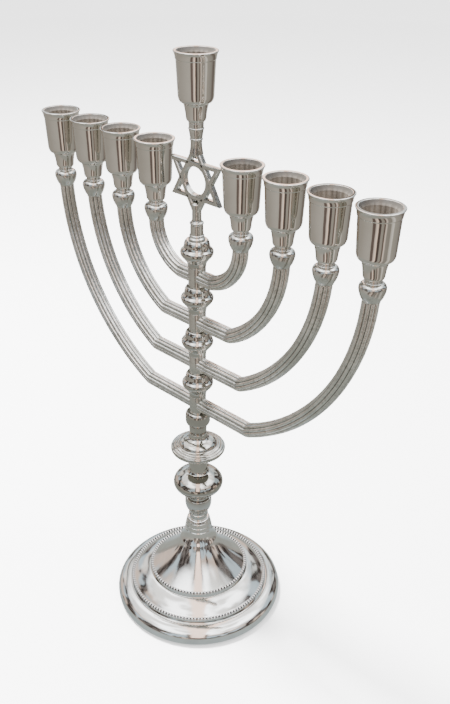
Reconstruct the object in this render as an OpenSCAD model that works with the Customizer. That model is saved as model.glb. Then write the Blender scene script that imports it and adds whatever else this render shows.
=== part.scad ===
// Nine-light candelabrum for Hanukkah, nickel-plated brass.
// A hollow spun foot carries a column of turned knops. Four U-shaped castings, one pair of
// reeded arms each, are clamped between the knops by one central tie rod. A cast star stem
// tops the column and carries the raised middle cup. Millimetres, +Z up. The origin is the
// middle of the circle on which the foot stands, and the arms lie in the XZ plane.

/* [Foot] */
// Widest diameter of the foot
foot_d = 134.4; // [124:0.2:140]
// How far the ring that stands on the table lies inside the rounded rim
rim_tuck = 2.6; // [1:0.1:4]
// Height at which the rounded rim is widest
rim_z = 5.6; // [3:0.1:7]
// Height of the outer shoulder, under its bead wire
outer_shoulder_z = 16.6; // [14:0.1:18]
// Height of the inner shoulder, under its bead wire
inner_shoulder_z = 28.1; // [25:0.1:30]
// Diameter of the outer bead wire, to its middle
outer_bead_d = 109; // [100:0.5:114]
// Diameter of the inner bead wire, to its middle
inner_bead_d = 77; // [72:0.5:86]
// Thickness of the bead wires
bead_wire_d = 2.5; // [1.6:0.1:2.8]
// Height of the upright step below each shoulder
riser_h = 3.2; // [2:0.1:4.5]
// Height of the whole foot, to the seat of the column
foot_h = 76; // [70:0.5:86]
// Diameter of the foot's neck at the seat of the column
foot_neck_d = 17.4; // [16:0.2:20]
// Thickness of the spun sheet
sheet_t = 1.6; // [1:0.1:2]
// Thickness of the plate that closes the foot's neck
neck_plate_t = 4.5; // [3:0.5:7]

/* [Column] */
// Height of the collar above the foot
collar_h = 21; // [18:0.5:26]
// Diameter of the collar's band
collar_d = 21; // [18:0.2:26]
// Diameter of the column's thin necks
neck_d = 14; // [13:0.2:16]
// Height of the bulb with its neck
bulb_h = 37; // [34:0.5:44]
// Diameter of the bulb
bulb_d = 38.6; // [30:0.2:42]
// Height of the bulb's flattened ball
bulb_ball_h = 21.8; // [17:0.5:24]
// Height of the disc knop with its neck
disc_h = 23.5; // [21:0.5:28]
// Diameter of the disc knop
disc_d = 41.6; // [36:0.2:46]
// Height of the small knop under the arms
low_knop_h = 19.5; // [16:0.5:22]
// Diameter of the small knop under the arms
low_knop_d = 18.6; // [17:0.2:22]
// Diameter of the stem knops between the arms
stem_knop_d = 23; // [21:0.2:25]

/* [Arms] */
// Height from one pair of arms to the next
tier_pitch = 34.4; // [33:0.2:40]
// Height of an arm casting's hub
hub_h = 14.4; // [13:0.2:16]
// Height of the arms' middle line above the hub's lower face
hub_drop = 7; // [6.4:0.1:9]
// Diameter of the hubs, and of the knops' lower ends
hub_d = 12.4; // [11.6:0.2:13.6]
// Diameter over the reeds of an arm
arm_d = 10.8; // [9:0.2:11.2]
// Number of reeds around an arm
reeds = 10; // [8:2:12]
// Width of a reed, compared with the width at which the reeds only touch
reed_fullness = 1.15; // [1.05:0.01:1.4]
// Distance from the column to each cup, from the innermost pair outwards
reach = [40.2, 75, 108.8, 142.6];
// Radius of each pair's long bow, from the innermost pair outwards
bow_r = [32, 77, 125, 158];
// Angle at which each pair turns upwards out of its level root
root_angle = [14, 28, 29, 25.5];
// Radius of the short bend between the level root and the long bow
root_bend_r = 7; // [5.5:0.5:9]
// Height of all the arms' tips above the middle line of the lowest pair
tip_rise = 134; // [130:0.5:145]

/* [Cups] */
// Diameter of the candle that a cup holds
candle_d = 20; // [18:0.1:20]
// Play of the candle in its cup, on the diameter
candle_play = 0.5; // [0.2:0.1:0.6]
// Depth of a cup's straight bore
bore_depth = 22.8; // [16:0.2:23]
// Outer height of a cup
cup_h = 44; // [43:0.5:50]
// Diameter of a cup's lip
lip_d = 28.2; // [27:0.2:32]
// Inner diameter of a cup's flared mouth
mouth_d = 24.2; // [22:0.2:25]
// Diameter of a cup's body under the lip
cup_top_d = 24.9; // [24:0.1:26]
// Diameter of a cup's body at its lower end
cup_low_d = 22.8; // [22:0.1:23.6]
// Diameter of a cup's foot
cup_foot_d = 10; // [8.6:0.2:11]
// Diameter of the ball knop under a cup
ball_d = 16.4; // [14:0.2:18]
// Height of the ball knop under a cup
ball_h = 13.2; // [11:0.2:15]

/* [Star stem] */
// Height of the star stem, from the top knop to the middle cup
star_stem_h = 78.4; // [77:0.2:90]
// Height of the star's middle above the foot of its stem
star_z = 40.6; // [39:0.2:42]
// Distance from the star's middle to its points
star_r = 25.8; // [22:0.2:27]
// Width of the star's bars
star_bar = 3.1; // [2:0.1:3.4]
// Thickness of the star, front to back
star_t = 4.4; // [3:0.1:5]
// Diameter of the round opening in the star
star_eye_d = 18.8; // [16:0.2:20]

/* [Fixings] */
// Diameter of the tie rod
rod_d = 6; // [5:0.5:6]
// Play of the tie rod in the pieces that it passes through
rod_play = 0.3; // [0.1:0.05:0.4]
// Length of the tie rod that enters the star stem
rod_grip = 8; // [6:0.5:9]
// Thickness of the nut under the foot's neck
nut_h = 5; // [4:0.5:6]
// Width of the nut across its flats
nut_af = 10; // [9:0.5:10]
// Thickness of the washer under the foot's neck
washer_t = 1.5; // [1:0.1:2]
// Diameter of the washer under the foot's neck
washer_d = 14; // [12:0.5:14]
// Diameter of the studs that hold the cups
stud_d = 4; // [3:0.5:4]
// Play of the studs in their holes, on the diameter
stud_play = 0.2; // [0.1:0.05:0.3]
// Length of a stud in the arm or stem, and in the cup
stud_grip = 8; // [5:0.5:9]

/* [Hidden] */

$fn = 64;
nickel = [0.74, 0.73, 0.70];
cast_nickel = [0.66, 0.66, 0.62];
cup_nickel = [0.66, 0.63, 0.58];
steel = [0.55, 0.56, 0.58];

// Heights of the column's seats, from the foot upwards
collar_z = foot_h;
bulb_z = collar_z + collar_h;
disc_z = bulb_z + bulb_h;
low_knop_z = disc_z + disc_h;
lowest_hub_z = low_knop_z + low_knop_h;
lowest_arm_z = lowest_hub_z + hub_drop;
stem_knop_h = tier_pitch - hub_h;
star_stem_z = lowest_hub_z + 4 * tier_pitch;
middle_cup_z = star_stem_z + star_stem_h;
tip_z = lowest_arm_z + tip_rise;
side_cup_z = tip_z + ball_h;
rod_bottom_z = foot_h - neck_plate_t - washer_t - nut_h - 4;
rod_top_z = star_stem_z + rod_grip;
rod_bore_d = rod_d + rod_play;
stud_bore_d = stud_d + stud_play;
solder_gap = 0.1;
cup_bore_d = candle_d + candle_play;
mouth_h = 3.2;
cup_floor_z = cup_h - mouth_h - bore_depth;

// Overlap of two lengths of an arm, and how much the upper one stands proud there
lap = 0.15;
lap_more = 0.04;

// Level length of an arm, from the column's middle to its first bend
function root_length(tier) =
    reach[tier] - bow_r[tier] + (bow_r[tier] - root_bend_r) * sin(root_angle[tier]);

// Height of the hub's lower face of a tier, where tier 0 is the innermost and highest
function hub_z(tier) = lowest_hub_z + (3 - tier) * tier_pitch;

// Points along a curve from a to b that leaves and arrives in line with the corner c
function bow(a, c, b, n = 7) =
    [for (i = [0 : n]) let (t = i / n) (1 - t) * (1 - t) * a + 2 * t * (1 - t) * c + t * t * b];

// Points along an ellipse's arc, from angle a0 to angle a1
function arc(middle, rx, rz, a0, a1, n = 12) =
    [for (i = [0 : n]) let (a = a0 + (a1 - a0) * i / n) middle + [rx * cos(a), rz * sin(a)]];

// A fine ring cut into a turned piece at radius r and height z
function ring_cut(r, z) = [[r, z - 0.4], [r - 0.35, z], [r - 0.1, z + 0.4]];

// A turned piece: the outline runs up its outside, around a straight bore
module turned(outline, bore_d) {
    last = len(outline) - 1;
    rotate_extrude()
        polygon(concat([[bore_d / 2, outline[0].y]], outline, [[bore_d / 2, outline[last].y]]));
}

// ---- Foot ----

// Outside of the foot, from the table up to the seat of the column, or its hollow side,
// which lies inside it by the shrink
function foot_outline(shrink = 0) =
    let (
        d = shrink,
        r = foot_d / 2 - d,
        outer_r = outer_bead_d / 2 + bead_wire_d / 2 - d,
        inner_r = inner_bead_d / 2 + bead_wire_d / 2 - d,
        neck_r = foot_neck_d / 2 - d,
        step_z = outer_shoulder_z - riser_h - d,
        inner_step_z = inner_shoulder_z - riser_h - d,
        flare_z = inner_shoulder_z + 1.6 - d,
        draw_z = foot_h - 21 - d
    )
    concat(
        [[r - rim_tuck, 0]],
        bow([r - rim_tuck + 1, 0.8], [r, rim_z * 0.4], [r, rim_z], 4),
        arc([outer_r, rim_z], r - outer_r, step_z - rim_z, 6, 86),
        [[outer_r, step_z]],
        [[outer_r - 0.5, outer_shoulder_z - d]],
        bow([outer_r - bead_wire_d, outer_shoulder_z + 1.2 - d],
            [(outer_r + inner_r) / 2, outer_shoulder_z + 6.2 - d],
            [inner_r + 0.6, inner_step_z - 0.1]),
        [[inner_r, inner_step_z]],
        [[inner_r - 0.5, inner_shoulder_z - d]],
        bow([inner_r - bead_wire_d, flare_z],
            [neck_r + 10.4, flare_z + (draw_z - flare_z) * 0.59],
            [neck_r + 6.2, draw_z], 9),
        bow([neck_r + 5.9, draw_z + 0.6], [neck_r + 2.8, draw_z + 5.1], [neck_r + 2.3, draw_z + 10.2], 5),
        ring_cut(neck_r + 2.2, draw_z + 10.8),
        ring_cut(neck_r + 1.6, draw_z + 14.6),
        ring_cut(neck_r + 0.8, draw_z + 18.4),
        [[neck_r, foot_h - 0.4 - d], [neck_r - 0.6, foot_h - d]]
    );

module foot() {
    color(nickel)
        difference() {
            turned(foot_outline(), rod_bore_d);
            hollow = foot_outline(sheet_t);
            top = foot_h - neck_plate_t;
            rotate_extrude()
                intersection() {
                    polygon(concat([[0, -1], [hollow[0].x, -1]], hollow, [[0, foot_h]]));
                    translate([0, -1]) square([foot_d, top + 1]);
                }
            bead_ring(outer_bead_d, outer_shoulder_z, solder_gap);
            bead_ring(inner_bead_d, inner_shoulder_z, solder_gap);
        }
}

// Height of a bead wire's middle: it lies in a groove a quarter of its depth
function wire_z(shoulder_z) = shoulder_z + bead_wire_d / 4;

module bead_ring(d, shoulder_z, more = 0) {
    translate([0, 0, wire_z(shoulder_z)])
        rotate_extrude()
            translate([d / 2, 0])
                circle(r = bead_wire_d / 2 + more);
}

module inner_bead_wire() {
    color(nickel) bead_ring(inner_bead_d, inner_shoulder_z);
}

module outer_bead_wire() {
    color(nickel) bead_ring(outer_bead_d, outer_shoulder_z);
}

module foot_washer() {
    color(steel)
        translate([0, 0, foot_h - neck_plate_t - washer_t])
            difference() {
                cylinder(d = washer_d, h = washer_t);
                translate([0, 0, -1]) cylinder(d = rod_bore_d, h = washer_t + 2);
            }
}

module foot_nut() {
    color(steel)
        translate([0, 0, foot_h - neck_plate_t - washer_t - nut_h])
            difference() {
                cylinder(d = nut_af / cos(30), h = nut_h, $fn = 6);
                translate([0, 0, -1]) cylinder(d = rod_bore_d, h = nut_h + 2);
            }
}

module tie_rod() {
    color(steel)
        translate([0, 0, rod_bottom_z])
            cylinder(d = rod_d, h = rod_top_z - rod_bottom_z);
}

// ---- Column ----

// Neck with a cup-shaped band that the bulb sits in
module foot_collar() {
    neck_r = neck_d / 2 + 0.2;
    band_r = collar_d / 2;
    outline = concat(
        [[neck_r, 0], [neck_r, 3.4], [neck_r + 0.5, 3.8], [neck_r + 0.5, 4.4], [neck_r, 4.8], [neck_r, 6.6]],
        bow([neck_r + 0.2, 7.4], [band_r - 0.4, 9.6], [band_r, collar_h - 6]),
        [[band_r, collar_h - 1.4], [band_r - 0.5, collar_h - 0.6], [band_r - 1.6, collar_h]]
    );
    color(nickel)
        translate([0, 0, collar_z])
            turned(outline, rod_bore_d);
}

// Flattened ball with a short foot below and a neck above
module bulb_knop() {
    neck_r = neck_d / 2;
    ball_r = bulb_d / 2;
    half = bulb_ball_h / 2;
    middle = 3.6 + half;
    outline = concat(
        [[collar_d / 2 - 1.5, 0], [collar_d / 2 - 1.5, 1.6]],
        arc([0, middle], ball_r, half, -57, 64, 22),
        bow([neck_r + 0.5, middle + half + 0.1], [neck_r, middle + half + 0.8], [neck_r, middle + half + 2.4], 3),
        [[neck_r, bulb_h]]
    );
    color(nickel)
        translate([0, 0, bulb_z])
            turned(outline, rod_bore_d);
}

// Broad disc with a domed boss above its thin rim
module disc_knop() {
    neck_r = neck_d / 2;
    rim_r = disc_d / 2;
    boss_r = rim_r - 6.6;
    rim = 10.8;
    outline = concat(
        [[neck_r, 0]],
        bow([neck_r, 0.8], [neck_r + 2.6, rim - 6.4], [rim_r - 2.6, rim - 3.8]),
        bow([rim_r - 1.8, rim - 3.4], [rim_r, rim - 2.4], [rim_r, rim - 0.6], 5),
        [[rim_r - 0.3, rim + 0.6], [rim_r - 1.4, rim + 0.9], [rim_r - 1.6, rim + 1.5]],
        [[rim_r - 3, rim + 2], [rim_r - 3.2, rim + 1.7], [rim_r - 3.6, rim + 2.3]],
        [[rim_r - 5, rim + 2.8], [rim_r - 5.3, rim + 2.4], [boss_r + 0.4, rim + 2.8]],
        arc([0, rim + 3.4], boss_r, 5.2, 0, 52, 8),
        bow([neck_r + 0.6, rim + 8.3], [neck_r - 0.4, rim + 9], [neck_r - 0.5, disc_h - 1.6], 4),
        [[neck_r - 0.5, disc_h]]
    );
    color(nickel)
        translate([0, 0, disc_z])
            turned(outline, rod_bore_d);
}

// Small barrel knop over a tapered neck
module low_knop() {
    neck_r = neck_d / 2 - 0.5;
    knop_r = low_knop_d / 2;
    outline = concat(
        [[neck_r - 0.2, 0], [neck_r, 1.4], [neck_r + 0.4, 7.2]],
        bow([neck_r + 0.8, 7.8], [knop_r - 0.2, 9], [knop_r, 11.6], 5),
        bow([knop_r, low_knop_h - 3.4], [knop_r - 0.1, low_knop_h - 0.8], [knop_r - 1.6, low_knop_h], 5)
    );
    color(nickel)
        translate([0, 0, low_knop_z])
            turned(outline, rod_bore_d);
}

// Knop between two hubs: it swells from the hub below to a rounded edge, steps in above it,
// and closes under the next hub with a rim
module stem_knop(tier) {
    hub_r = hub_d / 2;
    knop_r = stem_knop_d / 2;
    top = stem_knop_h;
    outline = concat(
        bow([hub_r + 0.1, 0], [hub_r + 0.2, 2.4], [hub_r + 1, 4], 4),
        bow([hub_r + 1, 4], [hub_r + 2.2, 5.6], [knop_r - 1.2, 7.8], 5),
        bow([knop_r - 1.2, 7.8], [knop_r, 9.3], [knop_r, 11], 5),
        bow([knop_r, 11], [knop_r - 0.1, 12.3], [knop_r - 0.8, 12.8], 4),
        bow([knop_r - 0.8, 12.8], [knop_r - 2.1, 13.8], [knop_r - 2.5, 15.6], 5),
        bow([knop_r - 2.5, 15.6], [knop_r - 2.7, top - 2.2], [hub_r + 2, top - 1.2], 5),
        bow([hub_r + 1.6, top - 0.7], [hub_r + 1.4, top - 0.2], [hub_r + 0.9, top], 4)
    );
    color(nickel)
        translate([0, 0, hub_z(tier) + hub_h])
            turned(outline, rod_bore_d);
}

// ---- Arms ----

// Section of an arm: a ring of round reeds about a core
module reeded_section(more = 0) {
    share = sin(180 / reeds) * reed_fullness;
    reed_r = arm_d / 2 * share / (1 + share);
    ring_r = arm_d / 2 - reed_r;
    circle(r = ring_r);
    for (i = [0 : reeds - 1])
        rotate(i * 360 / reeds)
            translate([ring_r, 0])
                rotate(180)
                    circle(r = reed_r + more);
}

// A bend in the XZ plane about a level axis, from one angle through a turn
module bend(r, from, turn, more = 0) {
    rotate([90, 0, 0])
        rotate([0, 0, from])
            rotate_extrude(angle = turn)
                translate([r, 0])
                    reeded_section(more);
}

// The bowed part of the arm on the +X side: a short bend, a long bow and a level tip.
// Each length laps a little over the end of the one before it.
module arm(tier) {
    r = bow_r[tier];
    a = root_angle[tier];
    bend_z = hub_z(tier) + hub_drop + root_bend_r;
    bow_z = bend_z + (r - root_bend_r) * cos(a);
    lap_turn = lap * 180 / PI / r;
    difference() {
        union() {
            translate([root_length(tier), 0, bend_z])
                bend(root_bend_r, -90, a);
            translate([reach[tier] - r, 0, bow_z])
                bend(r, a - 90 - lap_turn, 90 - a + lap_turn, lap_more);
            if (bow_z < tip_z)
                translate([reach[tier], 0, bow_z - lap])
                    linear_extrude(tip_z - bow_z + lap + 1)
                        reeded_section(2 * lap_more);
        }
        translate([reach[tier] - arm_d, -arm_d, tip_z])
            cube([2 * arm_d, 2 * arm_d, 40]);
        translate([reach[tier], 0, tip_z - stud_grip - 1])
            cylinder(d = stud_bore_d, h = stud_grip + 2);
    }
}

// Both arms and their hub, one casting
module arm_pair(tier) {
    color(cast_nickel)
        difference() {
            union() {
                translate([0, 0, hub_z(tier)])
                    cylinder(d = hub_d, h = hub_h);
                translate([0, 0, hub_z(tier) + hub_drop])
                    rotate([0, 90, 0])
                        linear_extrude(2 * (root_length(tier) + lap), center = true)
                            reeded_section(lap_more);
                arm(tier);
                mirror([1, 0, 0]) arm(tier);
            }
            translate([0, 0, hub_z(tier) - 1])
                cylinder(d = rod_bore_d, h = hub_h + 2);
        }
}

// Ball knop between an arm's tip and its cup
module ball(tier, side) {
    low_r = arm_d / 2 + 0.1;
    neck_r = cup_foot_d / 2;
    middle = ball_h * 0.62;
    outline = concat(
        [[low_r, 0], [low_r, 0.7]],
        bow([low_r + 0.3, 1.2], [ball_d / 2 - 0.5, middle - 3.8], [ball_d / 2, middle], 7),
        bow([ball_d / 2, middle], [ball_d / 2 + 0.1, ball_h - 1.8], [neck_r + 0.4, ball_h - 1.1], 7),
        [[neck_r, ball_h - 0.8], [neck_r, ball_h]]
    );
    color(nickel)
        translate([side * reach[tier], 0, tip_z])
            turned(outline, stud_bore_d);
}

// ---- Cups ----

// A candle cup standing on its foot at the origin
module cup() {
    foot_r = cup_foot_d / 2;
    low_r = cup_low_d / 2;
    top_r = cup_top_d / 2;
    lip_r = lip_d / 2;
    low_z = cup_floor_z;
    outline = concat(
        [[foot_r, 0], [foot_r, 0.8]],
        bow([foot_r + 0.5, 1.2], [foot_r + 1.5, 1.8], [foot_r + 1.6, 4.2], 4),
        bow([foot_r + 1.6, 4.2], [foot_r + 1.9, 9], [foot_r + 2.7, 11.4], 4),
        bow([foot_r + 2.7, 11.4], [foot_r + 3.2, 12.6], [foot_r + 4.4, 12.9], 3),
        bow([foot_r + 4.8, 13.1], [low_r - 0.4, low_z - 4], [low_r, low_z - 1.4], 5),
        [[top_r, cup_h - 5.4], [top_r + 0.35, cup_h - 5]],
        bow([top_r + 0.4, cup_h - 4.6], [top_r + 0.6, cup_h - 2], [lip_r, cup_h - 0.6], 5),
        [[lip_r, cup_h - 0.3], [lip_r - 0.35, cup_h]]
    );
    color(cup_nickel)
        difference() {
            rotate_extrude()
                polygon(concat([[0, 0]], outline, [[0, cup_h]]));
            translate([0, 0, cup_floor_z])
                cylinder(d = cup_bore_d, h = bore_depth);
            translate([0, 0, cup_h - mouth_h])
                cylinder(d1 = cup_bore_d, d2 = mouth_d, h = mouth_h);
            translate([0, 0, -1])
                cylinder(d = stud_bore_d, h = stud_grip + 1);
        }
}

module side_cup(tier, side) {
    translate([side * reach[tier], 0, side_cup_z]) cup();
}

module middle_cup() {
    translate([0, 0, middle_cup_z]) cup();
}

// Threaded studs, one through each ball knop and one in the star stem
module cup_studs() {
    color(steel) {
        for (side = [-1, 1], tier = [0 : 3])
            translate([side * reach[tier], 0, tip_z - stud_grip])
                cylinder(d = stud_d, h = ball_h + 2 * stud_grip);
        translate([0, 0, middle_cup_z - stud_grip])
            cylinder(d = stud_d, h = 2 * stud_grip);
    }
}

// ---- Star stem ----

// One of the star's two triangles
module star_triangle(r, turn) {
    rotate(turn) circle(r = r, $fn = 3);
}

// Face of the star: two crossed frames about a round eye, with the four side points open
module star_face() {
    inner_r = star_r - 2 * star_bar;
    difference() {
        union() {
            star_triangle(star_r, 90);
            star_triangle(star_r, -90);
        }
        circle(d = star_eye_d);
        for (turn = [30, 150, 210, 330])
            intersection() {
                star_triangle(inner_r, turn);
                rotate(turn) translate([star_r / 2, -star_r]) square(2 * star_r);
            }
    }
}

module star_stem() {
    seat_r = hub_d / 2 - 0.5;
    low_r = 3.2;
    top_r = cup_foot_d / 2 - 0.1;
    low_end = star_z - star_r + 10;
    top_start = star_z + star_r - 8;
    top = star_stem_h;
    color(cast_nickel)
        translate([0, 0, star_stem_z])
            difference() {
                union() {
                    rotate_extrude()
                        polygon(concat(
                            [[0, 0], [seat_r, 0], [seat_r, 1], [seat_r - 0.7, 1.6]],
                            arc([seat_r - 1.3, 2.8], 0.75, 0.8, -80, 80, 6),
                            [[seat_r - 1.2, 4], [4.4, 10.4]],
                            arc([4.1, 11.6], 0.75, 0.8, -80, 80, 6),
                            bow([3.8, 12.6], [low_r, 13.2], [low_r, 15.4], 4),
                            [[low_r, low_end - 4], [low_r + 0.7, low_end], [0, low_end + 3]]
                        ));
                    rotate_extrude()
                        polygon(concat(
                            [[0, top_start - 4], [4.6, top_start], [3.9, top_start + 4]],
                            [[3.7, top_start + 7], [3.8, top - 11.4]],
                            arc([3.7, top - 10.4], 0.6, 0.7, -80, 80, 6),
                            [[4, top - 9.4], [top_r - 0.1, top - 4.6]],
                            arc([top_r - 0.2, top - 3.6], 0.45, 0.6, -80, 80, 6),
                            [[top_r - 0.1, top - 2.6], [top_r, top], [0, top]]
                        ));
                    translate([0, star_t / 2, star_z])
                        rotate([90, 0, 0])
                            linear_extrude(star_t)
                                star_face();
                }
                translate([0, 0, -1])
                    cylinder(d = rod_bore_d, h = rod_grip + 1);
                translate([0, 0, top - stud_grip])
                    cylinder(d = stud_bore_d, h = stud_grip + 1);
            }
}

foot();
inner_bead_wire();
outer_bead_wire();
foot_washer();
foot_nut();
tie_rod();
foot_collar();
bulb_knop();
disc_knop();
low_knop();
for (tier = [0 : 3]) {
    name = str(tier + 1);
    stem_knop(tier);
    arm_pair(tier);
    ball(tier, -1);
    ball(tier, 1);
    side_cup(tier, -1);
    side_cup(tier, 1);
}
star_stem();
middle_cup();
cup_studs();
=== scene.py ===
"""Nine-light candelabrum for Hanukkah, nickel-plated brass, finished over its CAD frame."""

import math

import bmesh
import bpy
from mathutils import Matrix, Vector, noise


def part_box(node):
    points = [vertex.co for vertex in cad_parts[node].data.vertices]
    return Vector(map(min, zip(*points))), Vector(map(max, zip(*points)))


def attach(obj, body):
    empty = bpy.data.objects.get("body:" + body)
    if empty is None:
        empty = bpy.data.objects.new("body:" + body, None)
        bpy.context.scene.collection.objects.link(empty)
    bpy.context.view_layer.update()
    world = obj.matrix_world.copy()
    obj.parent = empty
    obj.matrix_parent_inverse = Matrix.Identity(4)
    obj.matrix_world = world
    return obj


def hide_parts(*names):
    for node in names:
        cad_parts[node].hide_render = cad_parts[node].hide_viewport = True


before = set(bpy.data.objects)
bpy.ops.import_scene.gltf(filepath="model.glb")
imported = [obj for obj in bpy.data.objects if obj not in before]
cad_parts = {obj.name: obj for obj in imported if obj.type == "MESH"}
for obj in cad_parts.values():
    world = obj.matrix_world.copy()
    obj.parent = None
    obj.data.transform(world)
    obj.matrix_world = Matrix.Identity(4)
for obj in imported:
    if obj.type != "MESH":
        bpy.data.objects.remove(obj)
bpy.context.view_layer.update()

# ---- Room ----
# A pale seamless floor under soft, even light, with a soft key light high on the left. Plated
# metal shows what stands round it, so walls, windows and a table top surround the object for
# reflections alone. The camera looks down from the right of the object's front.

eye = Vector((0.39354, -0.38354, 0.53910))
turn, dip, lean = math.radians(43.67), math.radians(29.57), math.radians(0.69)
ahead = Vector((-math.sin(turn) * math.cos(dip), math.cos(turn) * math.cos(dip), -math.sin(dip)))
right = Vector((math.cos(turn), math.sin(turn), 0))
above = right.cross(ahead)
camera_x = right * math.cos(lean) + above * math.sin(lean)
camera_y = above * math.cos(lean) - right * math.sin(lean)
lens = bpy.data.cameras.new("camera")
lens.sensor_fit = "VERTICAL"
lens.sensor_height = 36
lens.lens = 44.78
lens.clip_start = 0.02
lens.clip_end = 60
camera = bpy.data.objects.new("camera", lens)
camera.matrix_world = Matrix.Translation(eye) @ Matrix((camera_x, camera_y, -ahead)).transposed().to_4x4()
bpy.context.collection.objects.link(camera)
bpy.context.scene.camera = camera


def soft_light(name, place, aim, width, height, power):
    """A rectangular soft light at a place, turned to face a point. It makes no highlight."""
    lamp = bpy.data.lights.new(name, "AREA")
    lamp.shape = "RECTANGLE"
    lamp.size, lamp.size_y = width, height
    lamp.energy = power
    light = bpy.data.objects.new(name, lamp)
    light.location = place
    light.rotation_euler = (Vector(aim) - Vector(place)).to_track_quat("-Z", "Y").to_euler()
    light.visible_glossy = False
    bpy.context.collection.objects.link(light)


soft_light("key_light", (-0.55, -0.05, 1.5), (0, 0, 0.05), 0.3, 0.3, 170)

room = bpy.data.worlds.new("room")
bpy.context.scene.world = room
room.use_nodes = True
room.node_tree.nodes["Background"].inputs["Color"].default_value = (1, 1, 1, 1)
room.node_tree.nodes["Background"].inputs["Strength"].default_value = 3.2


class Value:
    """An output of a material's node, for use in arithmetic."""

    def __init__(self, finish, socket):
        self.finish, self.socket = finish, socket

    def __add__(self, other):
        return self.finish.maths("ADD", self, other)

    def __mul__(self, other):
        return self.finish.maths("MULTIPLY", self, other)

    def __sub__(self, other):
        return self.finish.maths("SUBTRACT", self, other)

    def __rsub__(self, other):
        return self.finish.maths("SUBTRACT", other, self)

    def __truediv__(self, other):
        return self.finish.maths("DIVIDE", self, other)

    def __pow__(self, other):
        return self.finish.maths("POWER", self, other)

    __radd__ = __add__
    __rmul__ = __mul__


class Finish:
    """A material in the making, whose shader is set as it goes."""

    def __init__(self, name, **constants):
        self.material = bpy.data.materials.new(name)
        self.material.use_nodes = True
        self.nodes = self.material.node_tree.nodes
        self.shader = self.nodes["Principled BSDF"]
        for socket, value in constants.items():
            self.shader.inputs[socket.replace("_", " ")].default_value = value

    def node(self, kind, settings=None, inputs=None):
        """Adds a node: its settings first, then the values or links of its sockets."""
        made = self.nodes.new(kind)
        for key, value in (settings or {}).items():
            if key == "stops":
                ramp = made.color_ramp.elements
                while len(ramp) < len(value):
                    ramp.new(0.5)
                for stop, (place, colour) in zip(ramp, value):
                    stop.position, stop.color = place, (*colour, 1)
            else:
                setattr(made, key, value)
        for key, value in (inputs or {}).items():
            self.plug(made.inputs[key], value)
        return made

    def plug(self, socket, value):
        """Gives a socket a value or a link."""
        if isinstance(value, Value):
            self.material.node_tree.links.new(value.socket, socket)
        else:
            socket.default_value = value

    def coat(self, socket, value):
        """Gives the shader's socket a value or a link."""
        self.plug(self.shader.inputs[socket], value)

    def maths(self, operation, *values):
        made = self.node("ShaderNodeMath", {"operation": operation}, dict(enumerate(values)))
        return Value(self, made.outputs[0])

    def place(self):
        """Where a point of the surface is, in metres."""
        return Value(self, self.node("ShaderNodeTexCoord").outputs["Object"])

    def parts(self, vector):
        made = self.node("ShaderNodeSeparateXYZ", None, {0: vector})
        return [Value(self, out) for out in made.outputs]

    def joined(self, x, y, z):
        return Value(self, self.node("ShaderNodeCombineXYZ", None, {0: x, 1: y, 2: z}).outputs[0])

    def rise(self, value, low, high):
        """0 below low, 1 above high, and a smooth step between."""
        made = self.node("ShaderNodeMapRange", {"interpolation_type": "SMOOTHSTEP"},
                         {"Value": value, "From Min": low, "From Max": high})
        return Value(self, made.outputs[0])

    def noise(self, at, scale, detail=2.0, roughness=0.5):
        made = self.node("ShaderNodeTexNoise", None,
                         {"Vector": at, "Scale": scale, "Detail": detail, "Roughness": roughness})
        return Value(self, made.outputs["Fac"])

    def attribute(self, name, output="Vector"):
        return Value(self, self.node("ShaderNodeAttribute", {"attribute_name": name}).outputs[output])

    def blend(self, amount, first, second):
        """Mixes two colours."""
        inputs = {0: amount}
        for socket, colour in ((6, first), (7, second)):
            inputs[socket] = colour if isinstance(colour, Value) else (*colour, 1)
        return Value(self, self.node("ShaderNodeMix", {"data_type": "RGBA"}, inputs).outputs[2])

    def ramp(self, value, *stops):
        return Value(self, self.node("ShaderNodeValToRGB", {"stops": stops}, {0: value}).outputs[0])

    def scaled(self, vector, factors):
        made = self.node("ShaderNodeVectorMath", {"operation": "MULTIPLY"}, {0: vector, 1: factors})
        return Value(self, made.outputs[0])

    def bump(self, height, depth, normal=None):
        inputs = {"Height": height, "Distance": depth, "Strength": 1.0}
        if normal is not None:
            inputs["Normal"] = normal
        return Value(self, self.node("ShaderNodeBump", None, inputs).outputs["Normal"])


def add_stage(name, mesh, material, mirrored_only=False):
    """An object of the room. A mirrored one is seen only in polished surfaces."""
    data = bpy.data.meshes.new(name)
    mesh.to_mesh(data)
    mesh.free()
    data.materials.append(material)
    thing = bpy.data.objects.new(name, data)
    bpy.context.collection.objects.link(thing)
    if mirrored_only:
        thing.visible_camera = thing.visible_diffuse = thing.visible_shadow = False


room_radius = 3
floor_mesh = bmesh.new()
bmesh.ops.create_grid(floor_mesh, x_segments=1, y_segments=1, size=room_radius * 4)
floor_paint = Finish("floor_paint", Base_Color=(0.9, 0.9, 0.9, 1), Roughness=0.9)
add_stage("floor", floor_mesh, floor_paint.material)

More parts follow.
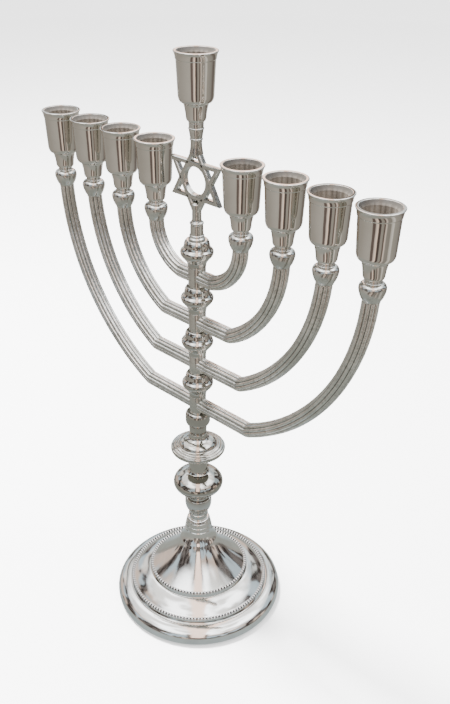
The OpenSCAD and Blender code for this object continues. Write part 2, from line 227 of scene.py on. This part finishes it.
walls = Finish("room_walls", Base_Color=(0, 0, 0, 1), Roughness=1.0, Emission_Strength=1.0)
at = walls.place()
x, y, z = walls.parts(at)
broad = walls.rise(walls.noise(walls.scaled(at, (1, 1, 0.5)), 0.8, 2, 0.5), 0.51, 0.55)
fine = walls.rise(walls.noise(walls.scaled(at, (1, 1, 0.6)), 2.8, 2, 0.5), 0.48, 0.52)
tint = walls.rise(walls.noise(at, 0.6, 1, 0.5), 0.45, 0.55)
dark = walls.blend(fine, (0.05, 0.035, 0.03), (0.28, 0.25, 0.24))
light = walls.blend(tint, (1.25, 1.0, 0.86), (0.95, 1.15, 1.3))
ceiling = walls.rise(z, 1.7, 2.4)
clouds = walls.rise(walls.noise(at, 1.1, 1, 0.5), 0.4, 0.62)
above_all = walls.blend(clouds, (6.0, 6.2, 6.5), (2.4, 2.4, 2.4))
behind = walls.rise(y * 0.72 - x * 0.69, 1.6, 2.1) * walls.rise(z, 0.7, 1.0)
aside = walls.maths("ABSOLUTE", x * 0.723 + y * 0.69)
strip = walls.rise(aside, 0.4, 0.34) * walls.rise(z, 0.8, 1.0)
shown = walls.blend(ceiling, walls.blend(broad, dark, light), above_all)
shown = walls.blend(behind * (0.1 + fine * 0.5), shown, (2.2, 2.3, 2.3))
shown = walls.blend(walls.rise(aside, 0.62, 0.5) * walls.rise(z, 2.6, 2.2), shown, (0.3, 0.25, 0.22))
walls.coat("Emission Color", walls.blend(strip, shown, (3.6, 2.7, 2.3)))
walls_mesh = bmesh.new()
bmesh.ops.create_uvsphere(walls_mesh, u_segments=48, v_segments=24, radius=room_radius)
add_stage("room_walls", walls_mesh, walls.material, mirrored_only=True)

table = Finish("table_top", Base_Color=(0, 0, 0, 1), Roughness=1.0, Emission_Strength=1.0)
x, y, _ = table.parts(table.place())
around = table.maths("ARCTAN2", y, x) / math.tau + 0.5
away = (x * x + y * y) ** 0.5
cloth = (0.47, 0.49, 0.45)
beyond = table.ramp(
    around,
    (0.0, (0.42, 0.40, 0.36)), (0.10, (0.48, 0.45, 0.40)), (0.25, (0.62, 0.59, 0.53)),
    (0.285, (0.60, 0.57, 0.51)), (0.292, (0.17, 0.13, 0.11)), (0.325, (0.14, 0.10, 0.085)),
    (0.332, (0.70, 0.62, 0.55)), (0.352, (1.5, 1.2, 1.0)), (0.362, (1.5, 1.2, 1.0)),
    (0.369, (0.08, 0.055, 0.045)), (0.396, (0.07, 0.045, 0.035)), (0.403, (0.45, 0.42, 0.37)),
    (0.43, (0.42, 0.39, 0.34)), (0.436, (0.16, 0.12, 0.10)), (0.45, (0.13, 0.10, 0.08)),
    (0.456, (1.1, 0.92, 0.80)), (0.468, (0.95, 0.85, 0.76)), (0.475, (0.38, 0.35, 0.31)),
    (0.52, (0.34, 0.32, 0.28)), (0.53, (0.75, 0.72, 0.66)), (0.56, (1.1, 1.07, 1.0)),
    (0.575, (0.50, 0.475, 0.42)), (0.66, (0.38, 0.365, 0.33)), (0.70, (0.20, 0.17, 0.15)),
    (0.74, (0.15, 0.12, 0.10)), (0.76, (0.46, 0.44, 0.40)), (0.87, (0.72, 0.70, 0.64)),
    (1.0, (0.42, 0.40, 0.36)),
)
near = table.blend(table.rise(away, 0.09, 0.15), (0.62, 0.71, 0.73), cloth)
table.coat("Emission Color", table.blend(table.rise(away, 0.33, 0.42), near, beyond))
table_mesh = bmesh.new()
bmesh.ops.create_circle(table_mesh, cap_ends=True, radius=room_radius, segments=64)
bmesh.ops.translate(table_mesh, verts=table_mesh.verts, vec=(0, 0, 0.0002))
add_stage("table_top", table_mesh, table.material, mirrored_only=True)

# ---- Foot ----
# One hollow shell of spun brass sheet: a rolled rim, two stepped shoulders that carry the
# bead wires, and a trumpet that draws in to the column's seat. It is polished on the
# spinning lathe and plated, and three fine rings are cut into its neck.

mm = 0.001
tiers = range(1, 5)
sides = ("left", "right")


def bow(start, corner, end, steps=12):
    """Points along a curve that leaves start and reaches end in line with the corner."""
    return [
        tuple((1 - t) ** 2 * a + 2 * t * (1 - t) * c + t * t * b for a, c, b in zip(start, corner, end))
        for t in (i / steps for i in range(steps + 1))
    ]


def arc(middle, across, up, first, last, steps=24):
    """Points along an ellipse's arc, in degrees."""
    turns = (math.radians(first + (last - first) * i / steps) for i in range(steps + 1))
    return [(middle[0] + across * math.cos(a), middle[1] + up * math.sin(a)) for a in turns]


def eased(outline, radius=0.3):
    """The outline with its sharp corners rounded, as polishing leaves them."""
    soft = [outline[0]]
    for before, here, after in zip(outline, outline[1:], outline[2:]):
        came, goes = Vector(here) - Vector(before), Vector(after) - Vector(here)
        if came.length < 1e-6 or goes.length < 1e-6:
            continue
        if came.angle(goes) < math.radians(16):
            soft.append(here)
            continue
        a = Vector(here) - came.normalized() * min(radius, came.length * 0.45)
        b = Vector(here) + goes.normalized() * min(radius, goes.length * 0.45)
        soft += bow(tuple(a), here, tuple(b), 4)
    return soft + [outline[-1]]


def turned(node, outline, steps=96, loop=True):
    """Spins an outline of radii and heights about a CAD node's axis, and fits it to its box."""
    low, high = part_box(node)
    axis = (low + high) / 2
    widest = max(r for r, z in outline)
    bottom = min(z for r, z in outline)
    tall = max(z for r, z in outline) - bottom
    outward = min(high.x - low.x, high.y - low.y) / 2 / widest
    upward = (high.z - low.z) / tall
    mesh = bmesh.new()
    local = mesh.verts.layers.float_vector.new("local")
    points = [mesh.verts.new((r * outward, 0, (z - bottom) * upward)) for r, z in outline]
    pairs = list(zip(points, points[1:] + points[:1] if loop else points[1:]))
    edges = [mesh.edges.new(pair) for pair in pairs]
    bmesh.ops.spin(mesh, geom=points + edges, cent=(0, 0, 0), axis=(0, 0, 1), angle=math.tau,
                   steps=steps, use_merge=True)
    bmesh.ops.remove_doubles(mesh, verts=mesh.verts, dist=2e-6)
    for vert in mesh.verts:
        vert[local] = vert.co
    bmesh.ops.translate(mesh, verts=mesh.verts, vec=(axis.x, axis.y, low.z))
    return mesh


def add_piece(name, mesh, material, slot, *nodes, crease=34):
    """Makes an object of a mesh: smooth but for its creases, riding on the part's body."""
    bmesh.ops.recalc_face_normals(mesh, faces=mesh.faces)
    for face in mesh.faces:
        face.smooth = True
    for edge in mesh.edges:
        edge.smooth = not (edge.is_manifold and edge.calc_face_angle() > math.radians(crease))
    data = bpy.data.meshes.new(name)
    mesh.to_mesh(data)
    mesh.free()
    data.materials.append(material)
    piece = bpy.data.objects.new(name, data)
    bpy.context.collection.objects.link(piece)
    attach(piece, "root")
    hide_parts(*nodes)
    return piece


def nickel(name, bright, dull, roughness, lathe=0.0, grain=0.0, tarnish=None, haze=1.0):
    """Nickel plate on brass: cloudy tone, polishing haze, lathe marks or casting grain, and painted shade
    where the mesh marks it.
    """
    plate = Finish(name, Metallic=1.0)
    at = plate.place()
    cloud = plate.noise(at, 38, 3, 0.55)
    smear = plate.noise(plate.scaled(at, (1, 1, 0.35)), 160, 4, 0.6)
    speck = plate.noise(at, 1400, 2, 0.6)
    tone = plate.blend(plate.rise(cloud, 0.3, 0.7), dull, bright)
    rough = roughness + (plate.rise(smear, 0.5, 0.7) * 0.05 + plate.rise(speck, 0.58, 0.8) * 0.08) * haze
    relief = plate.bump(cloud, 0.0002)
    if lathe:
        x, y, z = plate.parts(plate.attribute("local"))
        marks = plate.noise(plate.joined((x * x + y * y) ** 0.5, 0.0, z), 2600, 3, 0.7)
        relief = plate.bump(marks, lathe, relief)
    if grain:
        sand = plate.noise(at, 300, 5, 0.7)
        relief = plate.bump(sand, grain, relief)
        tone = plate.blend(plate.rise(sand, 0.3, 0.55), (0.46, 0.455, 0.425), tone)
    # Painted shade: the tone darkens towards a dark colour where the mesh marks the gaps between beads and
    # the furrows of the reeds.
    if tarnish:
        painted_shade_mask = plate.rise(plate.attribute("tarnish", "Fac") + cloud * 0.3, 0.5, 1.15)
        tone = plate.blend(painted_shade_mask, tone, tarnish)
        rough = rough + painted_shade_mask * 0.2
    plate.coat("Base Color", tone)
    plate.coat("Roughness", rough)
    plate.coat("Normal", relief)
    return plate.material


polished = nickel("nickel_polished", (0.72, 0.71, 0.68), (0.60, 0.59, 0.56), 0.09, lathe=0.000012)

foot_top = 76.0
shoulders = (16.6, 28.1)
bead_rings = (54.5, 38.5)
bead = 1.25
step_rise = 3.2
neck = 8.7
rim, rim_height, rim_tuck = 67.2, 5.6, 2.6
sheet, seat, bore = 1.6, 4.5, 3.15


def foot_outside(thin=0.0):
    """The foot's outline from the table up, or its hollow side, inside it by the sheet."""
    def ring_cut(r, z):
        return [(r, z - 0.45), (r - 0.28, z - 0.2), (r - 0.36, z), (r - 0.28, z + 0.2), (r - 0.1, z + 0.45)]

    edge = rim - thin
    outer, inner = (ring + bead - thin for ring in bead_rings)
    outer_step, inner_step = (shoulder - step_rise - thin for shoulder in shoulders)
    flare, draw = shoulders[1] + 1.6 - thin, foot_top - 21 - thin
    throat = neck - thin
    path = (
        [(edge - rim_tuck, 0)]
        + bow((edge - rim_tuck + 1, 0.8), (edge, rim_height * 0.4), (edge, rim_height), 10)
        + arc((outer, rim_height), edge - outer, outer_step - rim_height, 3, 88, 30)
        + [(outer, outer_step), (outer - 0.5, shoulders[0] - thin)]
        + bow((outer - 2.5, shoulders[0] + 1.2 - thin), ((outer + inner) / 2, shoulders[0] + 6.2 - thin),
              (inner + 0.6, inner_step - 0.1), 16)
        + [(inner, inner_step), (inner - 0.5, shoulders[1] - thin)]
        + bow((inner - 2.5, flare), (throat + 10.4, flare + (draw - flare) * 0.59), (throat + 6.2, draw), 28)
        + bow((throat + 5.9, draw + 0.6), (throat + 2.8, draw + 5.1), (throat + 2.3, draw + 10.2), 12)
    )
    if thin:
        return [(r, z) for r, z in path if z < foot_top - seat]
    for out, up in ((2.2, 10.8), (1.6, 14.6), (0.8, 18.4)):
        path += ring_cut(throat + out, draw + up)
    return path + [(throat, foot_top - 0.4), (throat - 0.6, foot_top)]


foot_hollow = foot_outside(sheet)[::-1]
foot_hollow = [(foot_hollow[0][0], foot_top - seat)] + foot_hollow
foot_outline = eased(foot_outside() + [(bore, foot_top), (bore, foot_top - seat)] + foot_hollow, 0.35)
add_piece("foot", turned("foot", foot_outline, 160), polished, "nickel_polished", "foot")

# ---- Bead wires ----
# Two rings of beaded wire, rolled in a knurl from solid wire, bent round, and soldered
# into the corners of the foot's steps before plating. The gaps between the beads are painted
# dark, as painted shade.


def beaded_ring(node):
    """A ring of round beads on a thin core, as many as fit side by side."""
    low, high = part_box(node)
    thick = (high.z - low.z) / 2
    ring = (high.x - low.x) / 2 - thick
    middle = (low + high) / 2
    count = int(math.tau * ring / (thick * 2.0))
    mesh = bmesh.new()
    tarnish = mesh.verts.layers.float.new("tarnish")
    first = bmesh.ops.create_uvsphere(mesh, u_segments=12, v_segments=8, radius=thick)["verts"]
    for vert in first:
        # Painted shade: each bead is darker on the sides that face its neighbours.
        vert[tarnish] = abs(vert.co.y) / thick * 1.7 - 0.1
    bmesh.ops.translate(mesh, verts=first, vec=(ring, 0, 0))
    bmesh.ops.spin(mesh, geom=mesh.verts[:] + mesh.edges[:] + mesh.faces[:], cent=(0, 0, 0), axis=(0, 0, 1),
                   angle=math.tau * (count - 1) / count, steps=count - 1, use_duplicate=True)
    core = bmesh.ops.create_circle(mesh, cap_ends=False, radius=thick * 0.5, segments=10)["verts"]
    bmesh.ops.rotate(mesh, verts=core, cent=(0, 0, 0), matrix=Matrix.Rotation(math.pi / 2, 3, "X"))
    bmesh.ops.translate(mesh, verts=core, vec=(ring, 0, 0))
    # Painted shade: the core between the beads is dark all over.
    for vert in core:
        vert[tarnish] = 1
    edges = list({edge for vert in core for edge in vert.link_edges})
    bmesh.ops.spin(mesh, geom=core + edges, cent=(0, 0, 0), axis=(0, 0, 1), angle=math.tau,
                   steps=120, use_merge=True)
    bmesh.ops.translate(mesh, verts=mesh.verts, vec=middle)
    return mesh


# The bead wires' plate is painted near black in the gaps between the beads, as painted shade.
bead_plate_painted_shade = nickel("nickel_beads_painted_shade", (0.93, 0.93, 0.92), (0.86, 0.86, 0.84), 0.36, tarnish=(0.1, 0.1, 0.1),
                    haze=0.3)
for wire in ("outer_bead_wire", "inner_bead_wire"):
    add_piece(wire, beaded_ring(wire), bead_plate_painted_shade, "nickel_polished", wire, crease=60)

# ---- Column ----
# Turned brass knops, bored through and strung on the tie rod one above the other: the
# collar, the bulb, the disc and the small knop. Each is polished on the lathe and plated.

# Painted shade: the knops' plate is a darker copy of the foot's nickel.
lathed_painted_shade = nickel("nickel_lathed_painted_shade", (0.52, 0.505, 0.465), (0.40, 0.385, 0.35), 0.06, lathe=0.00001, haze=0.6)


def knop(name, outline, radius=0.25):
    """One bored and turned piece of the column."""
    bottom, top = outline[0][1], outline[-1][1]
    ring = [(bore, bottom)] + outline + [(bore, top), (bore, bottom)]
    add_piece(name, turned(name, eased(ring, radius)[:-1]), lathed_painted_shade, "nickel_polished", name)


knop("foot_collar", [(7.2, 0), (7.2, 3.2), (7.7, 3.5), (7.8, 4.0), (7.7, 4.5), (7.2, 4.9), (7.2, 6.6)]
     + bow((7.4, 7.4), (10.1, 9.6), (10.5, 15), 14)
     + [(10.5, 19.6), (10.2, 20.4), (8.9, 21)])
knop("bulb_knop", [(9.0, 0), (9.0, 1.6)] + arc((0, 14.5), 19.3, 10.9, -57, 64, 44)
     + bow((7.5, 25.5), (7, 26.2), (7, 27.8), 6) + [(7, 37)])
knop("disc_knop", [(7, 0)] + bow((7, 0.8), (9.6, 4.4), (18.2, 7.0), 16)
     + bow((19.0, 7.4), (20.8, 8.4), (20.8, 10.2), 8)
     + [(20.8, 10.8), (20.5, 11.4), (19.4, 11.7), (19.2, 12.3), (17.8, 12.8), (17.6, 12.5), (17.2, 13.1),
        (15.8, 13.6), (15.5, 13.2), (14.6, 13.6)]
     + arc((0, 14.2), 14.2, 5.2, 0, 52, 16) + bow((7.6, 19.1), (6.6, 19.8), (6.5, 21.9), 8) + [(6.5, 23.5)],
     radius=0.2)
knop("low_knop", [(6.3, 0), (6.5, 1.4), (6.9, 7.2)] + bow((7.3, 7.8), (9.1, 9), (9.3, 11.6), 10)
     + bow((9.3, 16.1), (9.2, 18.7), (7.7, 19.5), 10))

# ---- Stem knops ----
# Four like knops of turned brass, one standing on the hub of each arm casting. Each swells
# from the hub to a rounded edge, draws in above it, and closes with a small rim.

stem_knop_outline = (
    bow((6.3, 0), (6.4, 2.4), (7.2, 4), 8)
    + bow((7.2, 4), (8.4, 5.6), (10.3, 7.8), 10)[1:]
    + bow((10.3, 7.8), (11.5, 9.3), (11.5, 11), 8)[1:]
    + bow((11.5, 11), (11.4, 12.3), (10.7, 12.8), 6)[1:]
    + bow((10.7, 12.8), (9.4, 13.8), (9.0, 15.6), 8)[1:]
    + bow((9.0, 15.6), (8.8, 17.8), (8.2, 18.8), 8)[1:]
    + bow((7.8, 19.3), (7.6, 19.8), (7.1, 20.0), 5)
)
for tier in tiers:
    knop(f"stem_knop_{tier}", stem_knop_outline)

# ---- Arms ----
# Four sand castings, each a hub and both of its arms. From its level root an arm turns up in
# a short bend and runs on in a long bow to a flat tip. Its reeds are chased, so the plating
# is grained, and the furrows are painted darker, as painted shade.

cast = nickel("nickel_cast", (0.62, 0.61, 0.57), (0.48, 0.475, 0.44), 0.12, grain=0.00014)
# The arms' plate is painted darker in the furrows, as painted shade.
chased_painted_shade = nickel("nickel_chased_painted_shade", (0.76, 0.75, 0.71), (0.54, 0.54, 0.50), 0.1, grain=0.00028,
                tarnish=(0.13, 0.13, 0.11))

reeds = 10
arm_radius = 5.4 * mm
reach = [40.2, 75, 108.8, 142.6]
bow_radius = [32, 77, 125, 158]
root_angle = [14, 28, 29, 25.5]
bend_radius = 7 * mm
root_height = 7 * mm
unevenness = 0.05 * mm
points_per_reed = 8
reed_overlap = 1.15


def reed_radius(turn):
    """How far the arm's surface stands from its middle line, at an angle round it."""
    share = math.sin(math.pi / reeds) * reed_overlap
    reed = arm_radius * share / (1 + share)
    ring = arm_radius - reed
    off = (turn / math.tau * reeds + 0.5) % 1 * math.tau / reeds - math.pi / reeds
    return ring * math.cos(off) + math.sqrt(reed ** 2 - (ring * math.sin(off)) ** 2)


def swept(mesh, ring, **turn):
    """Carries an open ring of edges round a bend, and returns the ring at its end."""
    last = bmesh.ops.spin(mesh, geom=ring, use_duplicate=False, **turn)["geom_last"]
    return [part for part in last if not isinstance(part, bmesh.types.BMFace)]


def arm_mesh(node, tier):
    """Both arms of a casting as one reeded bar, from the left tip to the right one."""
    low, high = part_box(node)
    tip = high.z
    out, long_bow, a = reach[tier] * mm, bow_radius[tier] * mm, math.radians(root_angle[tier])
    level = low.z + root_height
    root = out - long_bow + (long_bow - bend_radius) * math.sin(a)
    bend_z = level + bend_radius
    bow_z = bend_z + (long_bow - bend_radius) * math.cos(a)
    over = math.asin(max(0.0, min(1.0, (bow_z - tip) / long_bow)))
    mesh = bmesh.new()
    tarnish = mesh.verts.layers.float.new("tarnish")
    segments = reeds * points_per_reed
    ring = bmesh.ops.create_circle(mesh, cap_ends=False, radius=1, segments=segments)["verts"]
    furrow = reed_radius(math.pi / reeds)
    for vert in ring:
        radius = reed_radius(math.atan2(vert.co.y, vert.co.x))
        vert.co = vert.co.normalized() * radius
        # Painted shade: darker towards the bottom of each furrow.
        vert[tarnish] = max(0, 1 - (radius - furrow) / (arm_radius - furrow) * 1.6)
    bmesh.ops.rotate(mesh, verts=ring, cent=(0, 0, 0), matrix=Matrix.Rotation(over, 3, "Y"))
    left_tip = (-(out - long_bow) - long_bow * math.cos(over), 0, bow_z - long_bow * math.sin(over))
    bmesh.ops.translate(mesh, verts=ring, vec=left_tip)
    start = list(ring)
    ring = ring + list({edge for vert in ring for edge in vert.link_edges})
    sweep = math.pi / 2 - a - over
    step = 1.1 * mm
    ring = swept(mesh, ring, cent=(-(out - long_bow), 0, bow_z), axis=(0, -1, 0), angle=sweep,
                 steps=max(8, round(sweep * long_bow / step)))
    ring = swept(mesh, ring, cent=(-root, 0, bend_z), axis=(0, -1, 0), angle=a, steps=6)
    count = max(4, round(2 * root / step))
    for _ in range(count):
        edges = [part for part in ring if isinstance(part, bmesh.types.BMEdge)]
        ring = bmesh.ops.extrude_edge_only(mesh, edges=edges)["geom"]
        ring = [part for part in ring if not isinstance(part, bmesh.types.BMFace)]
        bmesh.ops.translate(mesh, verts=[v for v in ring if isinstance(v, bmesh.types.BMVert)],
                            vec=(2 * root / count, 0, 0))
    ring = swept(mesh, ring, cent=(root, 0, bend_z), axis=(0, -1, 0), angle=a, steps=6)
    ring = swept(mesh, ring, cent=(out - long_bow, 0, bow_z), axis=(0, -1, 0), angle=sweep,
                 steps=max(8, round(sweep * long_bow / step)))
    for vert in start + [v for v in ring if isinstance(v, bmesh.types.BMVert)]:
        vert.co.z = tip
    bmesh.ops.holes_fill(mesh, edges=mesh.edges, sides=segments)
    for vert in mesh.verts:
        vert.co += vert.normal * noise.noise(vert.co * 260) * unevenness
    return mesh


for tier in tiers:
    node = f"arm_pair_{tier}"
    add_piece(node, arm_mesh(node, tier - 1), chased_painted_shade, "nickel_cast", node, crease=80)

# ---- Hubs ----
# The hub of each casting, through which the tie rod passes. It is faced flat above and
# below, where the knops bear on it.

hub_radius, hub_height = 6.2, 14.4
hub_outline = [(bore, 0), (hub_radius, 0), (hub_radius, hub_height), (bore, hub_height), (bore, 0)]
for tier in tiers:
    low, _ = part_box(f"arm_pair_{tier}")
    hub = bmesh.new()
    outline = eased(hub_outline, 0.3)[:-1]
    points = [hub.verts.new((r * mm, 0, z * mm)) for r, z in outline]
    edges = [hub.edges.new(pair) for pair in zip(points, points[1:] + points[:1])]
    bmesh.ops.spin(hub, geom=points + edges, cent=(0, 0, 0), axis=(0, 0, 1), angle=math.tau, steps=72,
                   use_merge=True)
    bmesh.ops.translate(hub, verts=hub.verts, vec=(0, 0, low.z))
    add_piece(f"hub_{tier}", hub, cast, "nickel_cast", f"arm_pair_{tier}")

# ---- Ball knops ----
# A small cast ball stands between each arm's tip and its cup. It is widest above its middle,
# has a flat collar on top, and is drilled through for the cup's stud.

stud_bore = 2.1
ball_outline = (
    [(stud_bore, 0), (5.4, 0), (5.4, 0.7)] + bow((5.7, 1.2), (7.7, 4.4), (8.2, 8.2), 12)
    + bow((8.2, 8.2), (8.3, 11.4), (5.4, 12.1), 14)[1:] + [(5.0, 12.4), (5.0, 13.2), (stud_bore, 13.2)]
)
for side in sides:
    for tier in tiers:
        name = f"ball_{side}_{tier}"
        add_piece(name, turned(name, eased(ball_outline + ball_outline[:1], 0.2)[:-1], 72), cast,
                  "nickel_cast", name)

# ---- Cups ----
# Nine like candle cups, turned from brass bar: a small foot, a waisted stem, a tapering
# sleeve and a lip that flares. The bore for the candle is left dull, painted dark brown as painted
# shade and near black at the flare of its mouth, and its mouth opens out.

cup_plate = nickel("nickel_cups", (0.66, 0.63, 0.585), (0.58, 0.55, 0.50), 0.045, lathe=0.000006, haze=0.5)
# Painted shade: the bore is painted dark brown with streaks, and near black at the flare of its mouth.
bore_shade = Finish("nickel_bores_painted_shade", Metallic=0.3)
x, y, z = bore_shade.parts(bore_shade.attribute("local"))
turns = bore_shade.maths("ARCTAN2", y, x)
streaks = bore_shade.noise(bore_shade.joined(turns, 0.0, z * 4.0), 5.0, 3, 0.6)
shade = bore_shade.blend(bore_shade.rise(streaks, 0.35, 0.65), (0.13, 0.11, 0.09), (0.24, 0.21, 0.18))
mouth = bore_shade.rise(z, 0.039, 0.0432)
bore_shade.coat("Base Color", bore_shade.blend(mouth, shade, (0.06, 0.054, 0.047)))
bore_shade.coat("Roughness", 0.3 + streaks * 0.2)
bore_shade.coat("Normal", bore_shade.bump(bore_shade.noise(bore_shade.joined(0.0, 0.0, z), 1500, 2, 0.6), 0.00002))
cup_height, bore_floor, mouth_radius = 44, 18, 12.1
cup_outline = (
    [(0, 0), (5, 0), (5, 0.8)] + bow((5.5, 1.2), (6.5, 1.8), (6.6, 4.2), 8)
    + bow((6.6, 4.2), (7.1, 9), (8.0, 11.6), 8)[1:] + bow((8.0, 11.6), (8.4, 12.6), (9.4, 12.9), 6)[1:]
    + bow((9.8, 13.1), (11, 14), (11.4, 16.6), 8)
    + [(12.45, 38.6), (12.8, 39.0)]
    + bow((12.85, 39.4), (13.05, 42), (14.1, 43.4), 10)
    + [(14.1, 43.7), (13.75, cup_height), (mouth_radius, cup_height)]
    + bow((mouth_radius, cup_height), (11.0, 42.2), (10.25, 40.8), 6)[1:]
    + [(10.25, bore_floor + 0.3), (9.9, bore_floor), (0, bore_floor)]
)
for name in [f"cup_{side}_{tier}" for side in sides for tier in tiers] + ["middle_cup"]:
    mesh = turned(name, eased(cup_outline), loop=False)
    cup = add_piece(name, mesh, cup_plate, "nickel_cups", name)
    cup.data.materials.append(bore_shade.material)
    low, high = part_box(name)
    axis = (low + high) / 2
    for face in cup.data.polygons:
        height = (face.center.z - low.z) / mm
        inside = (face.center - axis).xy.length < (mouth_radius - 0.2) * mm
        if inside and bore_floor - 0.6 < height < cup_height - 0.2:
            face.material_index = 1

# ---- Star stem ----
# One casting: a ringed drum that screws down on the column's tie rod, a six-pointed star of
# two crossed triangles about a round eye, and a rough ringed stem that carries the middle cup.

low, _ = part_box("star_stem")
foot_of_stem = (0, 0, low.z)
star_middle = low.z + 40.6 * mm
star_reach, bar, thick = 25.8, 3.1, 4.4
stem = bmesh.new()


def spun_into(mesh, outline, middle, axis, steps, loop=False):
    """Spins an outline of distances from an axis, and heights along it, into a mesh."""
    upright = axis == (0, 0, 1)
    points = [mesh.verts.new(Vector(middle) + Vector((r, 0, z) if upright else (0, -z, r)) * mm)
              for r, z in outline]
    pairs = zip(points, points[1:] + points[:1] if loop else points[1:])
    edges = [mesh.edges.new(pair) for pair in pairs]
    bmesh.ops.spin(mesh, geom=points + edges, cent=middle, axis=axis, angle=math.tau, steps=steps,
                   use_merge=True)


spun_into(stem, eased([(0, 0), (5.7, 0), (5.7, 1), (5.0, 1.6)] + arc((4.4, 2.8), 0.75, 0.8, -80, 80, 8)
                + [(4.5, 4), (4.4, 10.4)] + arc((4.1, 11.6), 0.75, 0.8, -80, 80, 8)
                + bow((3.8, 12.6), (3.2, 13.2), (3.2, 15.4), 8) + [(3.2, 20.8), (3.9, 24.8), (0, 27.8)], 0.2),
          foot_of_stem, (0, 0, 1), 64)
spun_into(stem, eased([(0, 54.4), (4.6, 58.4), (3.9, 62.4), (3.7, 65.4), (3.8, 67)]
                + arc((3.7, 68), 0.6, 0.7, -80, 80, 8) + [(4.0, 69), (4.8, 73.8)]
                + arc((4.7, 74.8), 0.45, 0.6, -80, 80, 8) + [(4.8, 75.8), (4.9, 78.4), (0, 78.4)], 0.2),
          foot_of_stem, (0, 0, 1), 64)
bmesh.ops.remove_doubles(stem, verts=stem.verts, dist=2e-6)

inner_reach, half = star_reach - 2 * bar, thick / 2
bar_outline = [(star_reach, half - 0.9), (star_reach - 0.8, half - 0.2), (star_reach - 1.6, half),
               (inner_reach + 1.6, half), (inner_reach + 0.8, half - 0.2), (inner_reach, half - 0.9)]
bar_outline += [(r, -z) for r, z in bar_outline[::-1]]
for up in (1, -1):
    spun_into(stem, [(r * up, z) for r, z in bar_outline], (0, 0, star_middle), (0, 1, 0), 3, loop=True)
eye_radius, eye_width = 9.4, 2.8
eye_outline = [(eye_radius, -1.5), (eye_radius + 0.5, -2.0), (eye_radius + eye_width, -2.0)]
eye_outline += [(r, -z) for r, z in eye_outline[::-1]]
spun_into(stem, eye_outline, (0, 0, star_middle), (0, 1, 0), 64, loop=True)
add_piece("star_stem", stem, cast, "nickel_cast", "star_stem", crease=28)

# ---- Fixings ----
# A steel tie rod with a washer and a hexagon nut under the foot's neck, and a steel stud
# that holds each cup. The rod's end shows a short length of thread below the nut.

zinc = Finish("zinc_steel", Metallic=1.0)
at = zinc.place()
blotch = zinc.noise(at, 220, 3, 0.6)
zinc.coat("Base Color", zinc.blend(blotch, (0.46, 0.47, 0.49), (0.62, 0.63, 0.64)))
zinc.coat("Roughness", 0.26 + blotch * 0.16)
zinc.coat("Normal", zinc.bump(zinc.noise(at, 1800, 2, 0.6), 0.00002))
steel = zinc.material

washer = turned("foot_washer", eased([(bore, 0), (7, 0), (7, 1.5), (bore, 1.5), (bore, 0)], 0.2)[:-1], 72)
add_piece("foot_washer", washer, steel, "steel_fixings", "foot_washer")

low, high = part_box("foot_nut")
nut = bmesh.new()
bmesh.ops.create_circle(nut, cap_ends=False, radius=(high.x - low.x) / 2, segments=6)
bmesh.ops.create_circle(nut, cap_ends=False, radius=bore * mm, segments=36)
bmesh.ops.triangle_fill(nut, edges=nut.edges[:], use_beauty=True, use_dissolve=False)
top = bmesh.ops.extrude_face_region(nut, geom=nut.faces[:], use_keep_orig=True)["geom"]
top = [part for part in top if isinstance(part, bmesh.types.BMVert)]
bmesh.ops.translate(nut, verts=top, vec=(0, 0, high.z - low.z))
corners = [edge for edge in nut.edges if edge.is_manifold and edge.calc_face_angle(0) > 0.6
           and edge.verts[0].co.xy.length > 4 * mm]
bmesh.ops.bevel(nut, geom=corners, offset=0.25 * mm, offset_type="OFFSET", segments=2, profile=0.5,
                affect="EDGES", material=-1)
bmesh.ops.translate(nut, verts=nut.verts, vec=(0, 0, low.z))
add_piece("foot_nut", nut, steel, "steel_fixings", "foot_nut")

rod_radius, rod_height, pitch = 3.0, 261.6, 0.9
thread = [(0, 0), (2.1, 0)]
for groove in range(15):
    thread += [(rod_radius, (groove + 0.5) * pitch), (2.45, (groove + 1) * pitch)]
plain = [(rod_radius, 14.4), (rod_radius, rod_height), (0, rod_height)]
rod = turned("tie_rod", thread + plain, 36, loop=False)
add_piece("tie_rod", rod, steel, "steel_fixings", "tie_rod", crease=50)

studs = bmesh.new()
places = []
stud_grip, stud_radius = 8 * mm, 2 * mm
for side in sides:
    for tier in tiers:
        low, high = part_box(f"ball_{side}_{tier}")
        places.append(((low.x + high.x) / 2, low.z - stud_grip, high.z + stud_grip))
low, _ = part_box("middle_cup")
places.append((0, low.z - stud_grip, low.z + stud_grip))
for x, bottom, top in places:
    ends = bmesh.ops.create_cone(studs, cap_ends=True, segments=24, radius1=stud_radius,
                                 radius2=stud_radius, depth=top - bottom)["verts"]
    bmesh.ops.translate(studs, verts=ends, vec=(x, 0, (top + bottom) / 2))
add_piece("cup_studs", studs, steel, "steel_fixings", "cup_studs")
